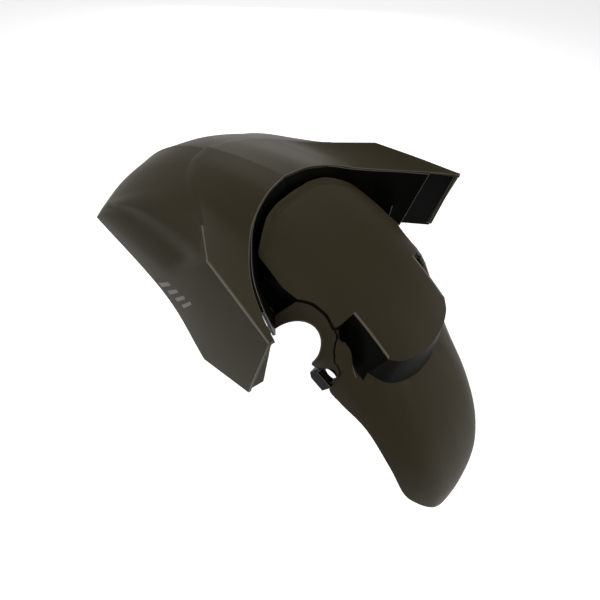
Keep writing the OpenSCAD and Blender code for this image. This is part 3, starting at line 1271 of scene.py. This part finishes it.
    def build(self, finishes: Finishes) -> bpy.types.Object:
        """Makes the blade's shell and cuts the fork clearances out of it.

        Formula: smooth curves run through the rings of both halves as one
        loop, and the wall is the same grid moved inward.

        Args:
            finishes: The materials.

        Returns:
            The blade.
        """
        rows = self.half(np.linspace(0.0, 1.0, self.spine_cells + 1),
                         np.linspace(0.0, 1.0, self.fan_cells + 1))
        flip = np.array([1.0, -1.0, 1.0])
        ring_at = places(self.cells_per_ring)
        half = cornered(rows, ring_at, self.corners, rows[1] * flip, rows[-2] * flip)
        loop = np.concatenate([half, half[-2:0:-1] * flip])
        n, m = loop.shape[:2]
        wide = np.concatenate([loop[-1:], loop, loop[:1]])
        step = inward(wide)[1:-1]
        step[:, 0] = -radial(loop[:, 0])
        low = loop + self.sizes.wall * step
        number = np.arange(n * m).reshape(n, m)
        number[len(half):, 0] = number[len(half) - 2:0:-1, 0]
        number = np.concatenate([number, number[:1]])
        faces = shell_faces(number, number + n * m, True)
        cells = n * (m - 1)
        skins = np.full(len(faces), Skin.PAINTED.value)
        reach = np.concatenate([ring_at, ring_at[-2:0:-1]])
        skins[:cells] = self.outer_skins(reach[:, None], np.arange(m - 1)[None]).ravel()
        skins[cells:2 * cells] = Skin.BARE.value
        points = np.concatenate([loop.reshape(-1, 3), low.reshape(-1, 3)])
        piece = make_mesh("blade", points, faces, skins, self.sizes)
        finishes.dress(piece)
        cut(piece, [self.clearance(side) for side in Side])
        soften(piece, self.rounding, clamp=True)
        return piece

    def outer_skins(self, ring: Array, column: Array) -> Array:
        """The finish of each outer cell, from its ring and its column.

        Args:
            ring: Place along the rings, as a column.
            column: Number of the cell from the middle line out, as a row.

        Returns:
            The material slot of each cell: bare in the groove and the recesses,
            bare on the platform's wall all round, which is painted shade where
            the wall is the crease by the ledges and at the rear, and painted
            highlight on the platform's edge by the recesses and on the ridge's crest.
        """
        beyond = (column - self.spine_cells) / self.fan_cells
        in_recess = (ring > self.recess_reach[0]) & (ring < self.recess_reach[1])
        # The wall column is near-black all round; by the ledges and at the rear this is
        # painted shade.
        bare = ((ring < self.groove_to) & (beyond >= 0) | (beyond == 0)
                | in_recess & (beyond >= 0)
                & (beyond < between_rows(self.recess_rows, ring)))
        # Painted highlights: a light band on the platform's edge by the recesses, and one on
        # the ridge's crest.
        rim = ((ring > self.rim_highlight_reach[0]) & (ring < self.rim_highlight_reach[1])
               & (column == self.spine_cells - 1))
        crest_highlight = ((ring > self.crest_highlight_reach[0]) & (ring < self.crest_highlight_reach[1])
                 & (column == self.spine_cells + self.crest_highlight_cell))
        skins = np.where(bare, Skin.BARE.value, Skin.PAINTED.value)
        return np.where(rim | crest_highlight, Skin.EDGE.value, skins)

    def clearance(self, side: Side) -> bpy.types.Object:
        """The round space for one fork leg, a cylinder along the fork.

        Args:
            side: The side that the leg is on.

        Returns:
            A closed cutter.
        """
        s = self.sizes
        back, across = circle(s.clear_r, self.clear_steps)
        ends = np.concatenate([s.on_fork(back - s.lead, side.value * s.fork_y + across,
                                         np.array(s.crown_r + height))
                               for height in self.clear_reach])
        return prism("clearance", ends, s)


@dataclass
class EarShadeLine:
    """A thin line of painted shade between each ear and the ridge beside it."""

    blade: Blade
    width: float = 1.5
    lift: float = 0.25
    thick: float = 0.4
    near_ring: float = 0.04
    near_fan: float = 0.02
    rounding: float = 0.0
    steps: int = 91
    path: tuple[tuple[float, float], ...] = (
        (16.4, 0.02), (16.9, 0.16), (17.05, 0.43), (17.3, 0.66), (17.85, 0.89),
        (19.2, 0.93))

    def on_blade(self, ring: Array, fan: Array) -> Array:
        """Points of the blade's surface.

        Args:
            ring: Places along the rings.
            fan: Places across the fan, one for each place in ring.

        Returns:
            One point for each pair.
        """
        rows = self.blade.half(np.array([0.0]), fan)[:, 1:]
        grid = cornered(rows, ring, self.blade.corners)
        pick = np.arange(len(ring))
        return grid[pick, pick]

    def build(self, finishes: Finishes) -> bpy.types.Object:
        """Makes the left line as a thin film of painted shade.

        Formula: the path on the blade, moved to both sides along the cross of
        its own direction and the surface's normal, and lifted off by a
        quarter of a millimetre.

        Args:
            finishes: The materials.

        Returns:
            The object of the left line.
        """
        way = through(np.array(self.path),
                      np.linspace(0, len(self.path) - 1, self.steps))
        ring, fan = way[:, 0], way[:, 1]
        at = self.on_blade(ring, fan)
        along_ring = self.on_blade(ring + self.near_ring, fan) - at
        along_fan = self.on_blade(ring, fan + self.near_fan) - at
        out = unit(np.cross(along_ring, along_fan))
        out *= np.sign(np.sum(out * radial(at), axis=-1, keepdims=True))
        side = unit(np.cross(np.gradient(at, axis=0), out)) * self.width / 2
        top = np.stack([at - side, at, at + side], axis=1) + (out * self.lift)[:, None]
        # The film takes the near-black bare finish as painted shade.
        piece = open_shell("ear_seam_left", top, top - (out * self.thick)[:, None],
                           self.blade.sizes, None, Skin.BARE, Skin.BARE)
        finishes.dress(piece)
        soften(piece, self.rounding)
        return piece


@dataclass
class BoltBox:
    """The pocket under each ear, with a short inner wall that takes the bolt."""

    sizes: ForkSizes
    wall: float = 3.2
    room: float = 3.2
    drop: float = 9.0
    slant: float = 7.0
    slant_share: float = 0.8
    rear_less: float = 2.8
    pocket_rise: float = 3.0
    wall_rise: float = 14.0
    post_rise: float = 9.0
    lap: float = 0.4
    beyond: float = 1.0
    hole_from: float = 6.0
    hole_steps: int = 64
    rounding: float = 0.35
    open_above: float = 40.0

    def outline(self, top: float, inset: float) -> Array:
        """The box seen from the side.

        Args:
            top: Height of the top edge along the fork.
            inset: How far the other edges lie inside the box.

        Returns:
            Distances behind the fork line and heights, corner by corner.
        """
        s = self.sizes
        front = s.bolt_back - s.bolt_d / 2 - self.room - self.wall
        rear = s.bolt_back + s.bolt_d / 2 + self.room - self.rear_less
        low = s.bolt_rho - s.bolt_d / 2 - self.drop
        return np.array([
            (front + inset, top), (front + inset, low + inset + self.slant),
            (front + inset + self.slant * self.slant_share, low + inset),
            (rear - inset, low + inset), (rear - inset, top)])

    def plate(self, name: str, outline: Array,
              y: tuple[float, float]) -> bpy.types.Object:
        """A plate square to the fork: its outline, carried from y[0] to y[1]."""
        ends = [self.sizes.on_fork(outline[:, 0], np.array(v), outline[:, 1]) for v in y]
        return prism(name, np.concatenate(ends), self.sizes)

    def build(self, finishes: Finishes) -> list[bpy.types.Object]:
        """Makes the left box.

        Args:
            finishes: The materials.

        Returns:
            The pocket, the inner wall with its hole, and the post.
        """
        s = self.sizes
        inn, out = s.box_y
        pocket = self.plate("box_left", self.outline(s.bolt_rho + self.pocket_rise, 0),
                            (inn + self.lap, out))
        room = self.plate("room", self.outline(s.bolt_rho + self.open_above, self.wall),
                          (inn - self.beyond, out - self.wall))
        cut(pocket, [room])
        inner = self.plate("box_wall_left", self.outline(s.bolt_rho + self.wall_rise, 0),
                           (inn, inn + self.wall))
        back, height = circle(s.bolt_d / 2, self.hole_steps)
        ring = np.stack([s.bolt_back + back, s.bolt_rho + height], axis=1)
        cut(inner, [self.plate("hole", ring, (inn - self.hole_from,
                                              inn + self.wall + self.beyond))])
        front = self.outline(s.bolt_rho, 0)[0, 0]
        post = self.plate("box_post_left", np.array([
            (front, s.bolt_rho), (front + self.wall, s.bolt_rho),
            (front + self.wall, s.bolt_rho + self.post_rise),
            (front, s.bolt_rho + self.post_rise)]), (inn, out))
        for piece in (pocket, inner, post):
            finishes.dress(piece, painted=False)
            soften(piece, self.rounding)
        return [pocket, inner, post]


@dataclass(frozen=True)
class Studio:
    """Camera, plain pale floor and soft light."""

    camera_at: Triple = (-0.0964, 0.2563, 0.3779)
    right: Triple = (-0.7455, -0.6646, 0.0520)
    up: Triple = (0.5541, -0.5744, 0.6026)
    back: Triple = (-0.3706, 0.4780, 0.7964)
    focal_px: float = 449.9
    photo_px: float = 600.0
    sensor_mm: float = 36.0
    near_clip: float = 0.01
    floor_z: float = -0.30
    floor_reach: float = 6.0
    floor_dull: float = 0.16
    floor_pale: float = 0.9
    floor_glow: float = 0.75
    sky: float = 0.1
    sky_full_at: float = 0.9
    horizon_share: float = 0.1
    ceiling: float = 0.12
    ceiling_from: float = 0.25
    ceiling_to: float = 0.75
    lamp_size: float = 0.8
    lamp_aim: Triple = (0.05, 0.0, 0.0)
    lamps: tuple[tuple[str, Triple, float], ...] = (
        ("lamp_side", (0.08, 0.96, 1.10), 6.0),
        ("lamp_rear", (-0.99, 0.50, 0.87), 2.5),
        ("lamp_front", (0.76, -0.68, 1.10), 4.5),
        ("lamp_low", (1.12, -1.04, 0.26), 4.5),
        ("lamp_back", (-0.96, -1.04, 0.26), 6.0))

    def camera(self) -> None:
        """Sets the camera from the photograph's solved view."""
        data = bpy.data.cameras.new("camera")
        data.sensor_fit = "HORIZONTAL"
        data.sensor_width = self.sensor_mm
        data.lens = self.focal_px / self.photo_px * self.sensor_mm
        data.clip_start = self.near_clip
        eye = linked(data)
        axes = np.array([self.right, self.up, self.back]).T
        turn = Matrix([list(row) for row in axes]).to_4x4()
        turn.translation = self.camera_at
        eye.matrix_world = turn
        bpy.context.scene.camera = eye

    def lamp(self, name: str, place: Triple, power: float) -> None:
        """One square soft lamp that points at the part.

        Args:
            name: The lamp's name.
            place: Where it is, in metres.
            power: Its power in watts.
        """
        data = bpy.data.lights.new(name, "AREA")
        data.shape = "SQUARE"
        data.size = self.lamp_size
        data.energy = power
        lamp = linked(data)
        lamp.location = place
        aim = Vector(self.lamp_aim) - lamp.location
        lamp.rotation_euler = aim.to_track_quat("-Z", "Y").to_euler()

    def world(self) -> None:
        """Light from above for the part, and white behind it with a dim ceiling.

        Formula: with h the height of a direction, from 0 at the horizon to 1
        overhead, the white falls to the ceiling's strength as h goes from
        ceiling_from to ceiling_to, and the light on dull surfaces rises from
        a tenth of the sky's strength at the horizon to all of it overhead.
        """
        world = bpy.data.worlds.new("world")
        world.use_nodes = True
        tree = Tree(world.node_tree)
        where = tree.add("ShaderNodeTexCoord", {})
        axes = tree.add("ShaderNodeSeparateXYZ", {0: where.outputs["Generated"]})
        shaders = []
        for limits in ((0.0, self.sky_full_at, self.horizon_share * self.sky, self.sky),
                       (self.ceiling_from, self.ceiling_to, 1.0, self.ceiling)):
            level = tree.ranged(axes.outputs["Z"], limits)
            back = tree.add("ShaderNodeBackground", {"Strength": level})
            shaders.append(back.outputs[0])
        tree.nodes.remove(tree.nodes["Background"])
        tree.fill(tree.nodes["World Output"], {"Surface": tree.seen_as(*shaders)})
        bpy.context.scene.world = world

    def floor(self) -> bpy.types.Object:
        """A wide pale floor that is seen white and keeps the part's shadow.

        Returns:
            The floor.
        """
        mesh = bpy.data.meshes.new("floor")
        z, r = self.floor_z, self.floor_reach
        mesh.from_pydata([(-r, -r, z), (r, -r, z), (r, r, z), (-r, r, z)], [],
                         [(0, 1, 2, 3)])
        mat = bpy.data.materials.new("floor")
        mat.use_nodes = True
        tree = Tree(mat.node_tree)
        tree.nodes.remove(tree.nodes["Principled BSDF"])
        dull, pale = (
            tree.add("ShaderNodeBsdfDiffuse", {"Color": (grey, grey, grey, 1.0)}).outputs[0]
            for grey in (self.floor_dull, self.floor_pale))
        glow = tree.add("ShaderNodeEmission", {"Strength": self.floor_glow})
        both = tree.add("ShaderNodeAddShader", {0: pale, 1: glow.outputs[0]})
        tree.fill(tree.nodes["Material Output"],
                  {"Surface": tree.seen_as(dull, both.outputs[0])})
        mesh.materials.append(mat)
        return linked(mesh)

    def build(self) -> None:
        """Sets the view, camera, world, lamps and floor."""
        view = bpy.context.scene.view_settings
        view.view_transform = "Standard"
        view.look = "None"
        self.camera()
        self.world()
        for name, place, power in self.lamps:
            self.lamp(name, place, power)
        self.floor()


def main() -> None:
    """Builds every piece in order and rides it on the part's one body."""
    logging.basicConfig(level=logging.INFO, format="%(message)s")
    sizes = ForkSizes()
    finishes = Finishes(MattePaint().build(), BarePlastic().build(),
                        PaintedHighlightEdge().build(), PaleInk().build())
    Studio().build()
    hood = Hood(sizes)
    blade = Blade(sizes)
    pieces = [hood.build(finishes), StepWall(hood).build(finishes),
              blade.build(finishes)]
    for maker in (EndReturn(hood), EarShadeLine(blade)):
        left = maker.build(finishes)
        pieces += [left, mirrored(left, maker.rounding)]
    box = BoltBox(sizes)
    lefts = box.build(finishes)
    pieces += lefts + [mirrored(left, box.rounding) for left in lefts]
    bars = SlantedBars(hood)
    pieces += [bars.build(finishes, side) for side in Side]
    for piece in pieces:
        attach(piece, "root")
        log.info("piece %s: %d faces", piece.name, len(piece.data.polygons))
    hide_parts("mudguard")


if __name__ == "__main__":
    main()
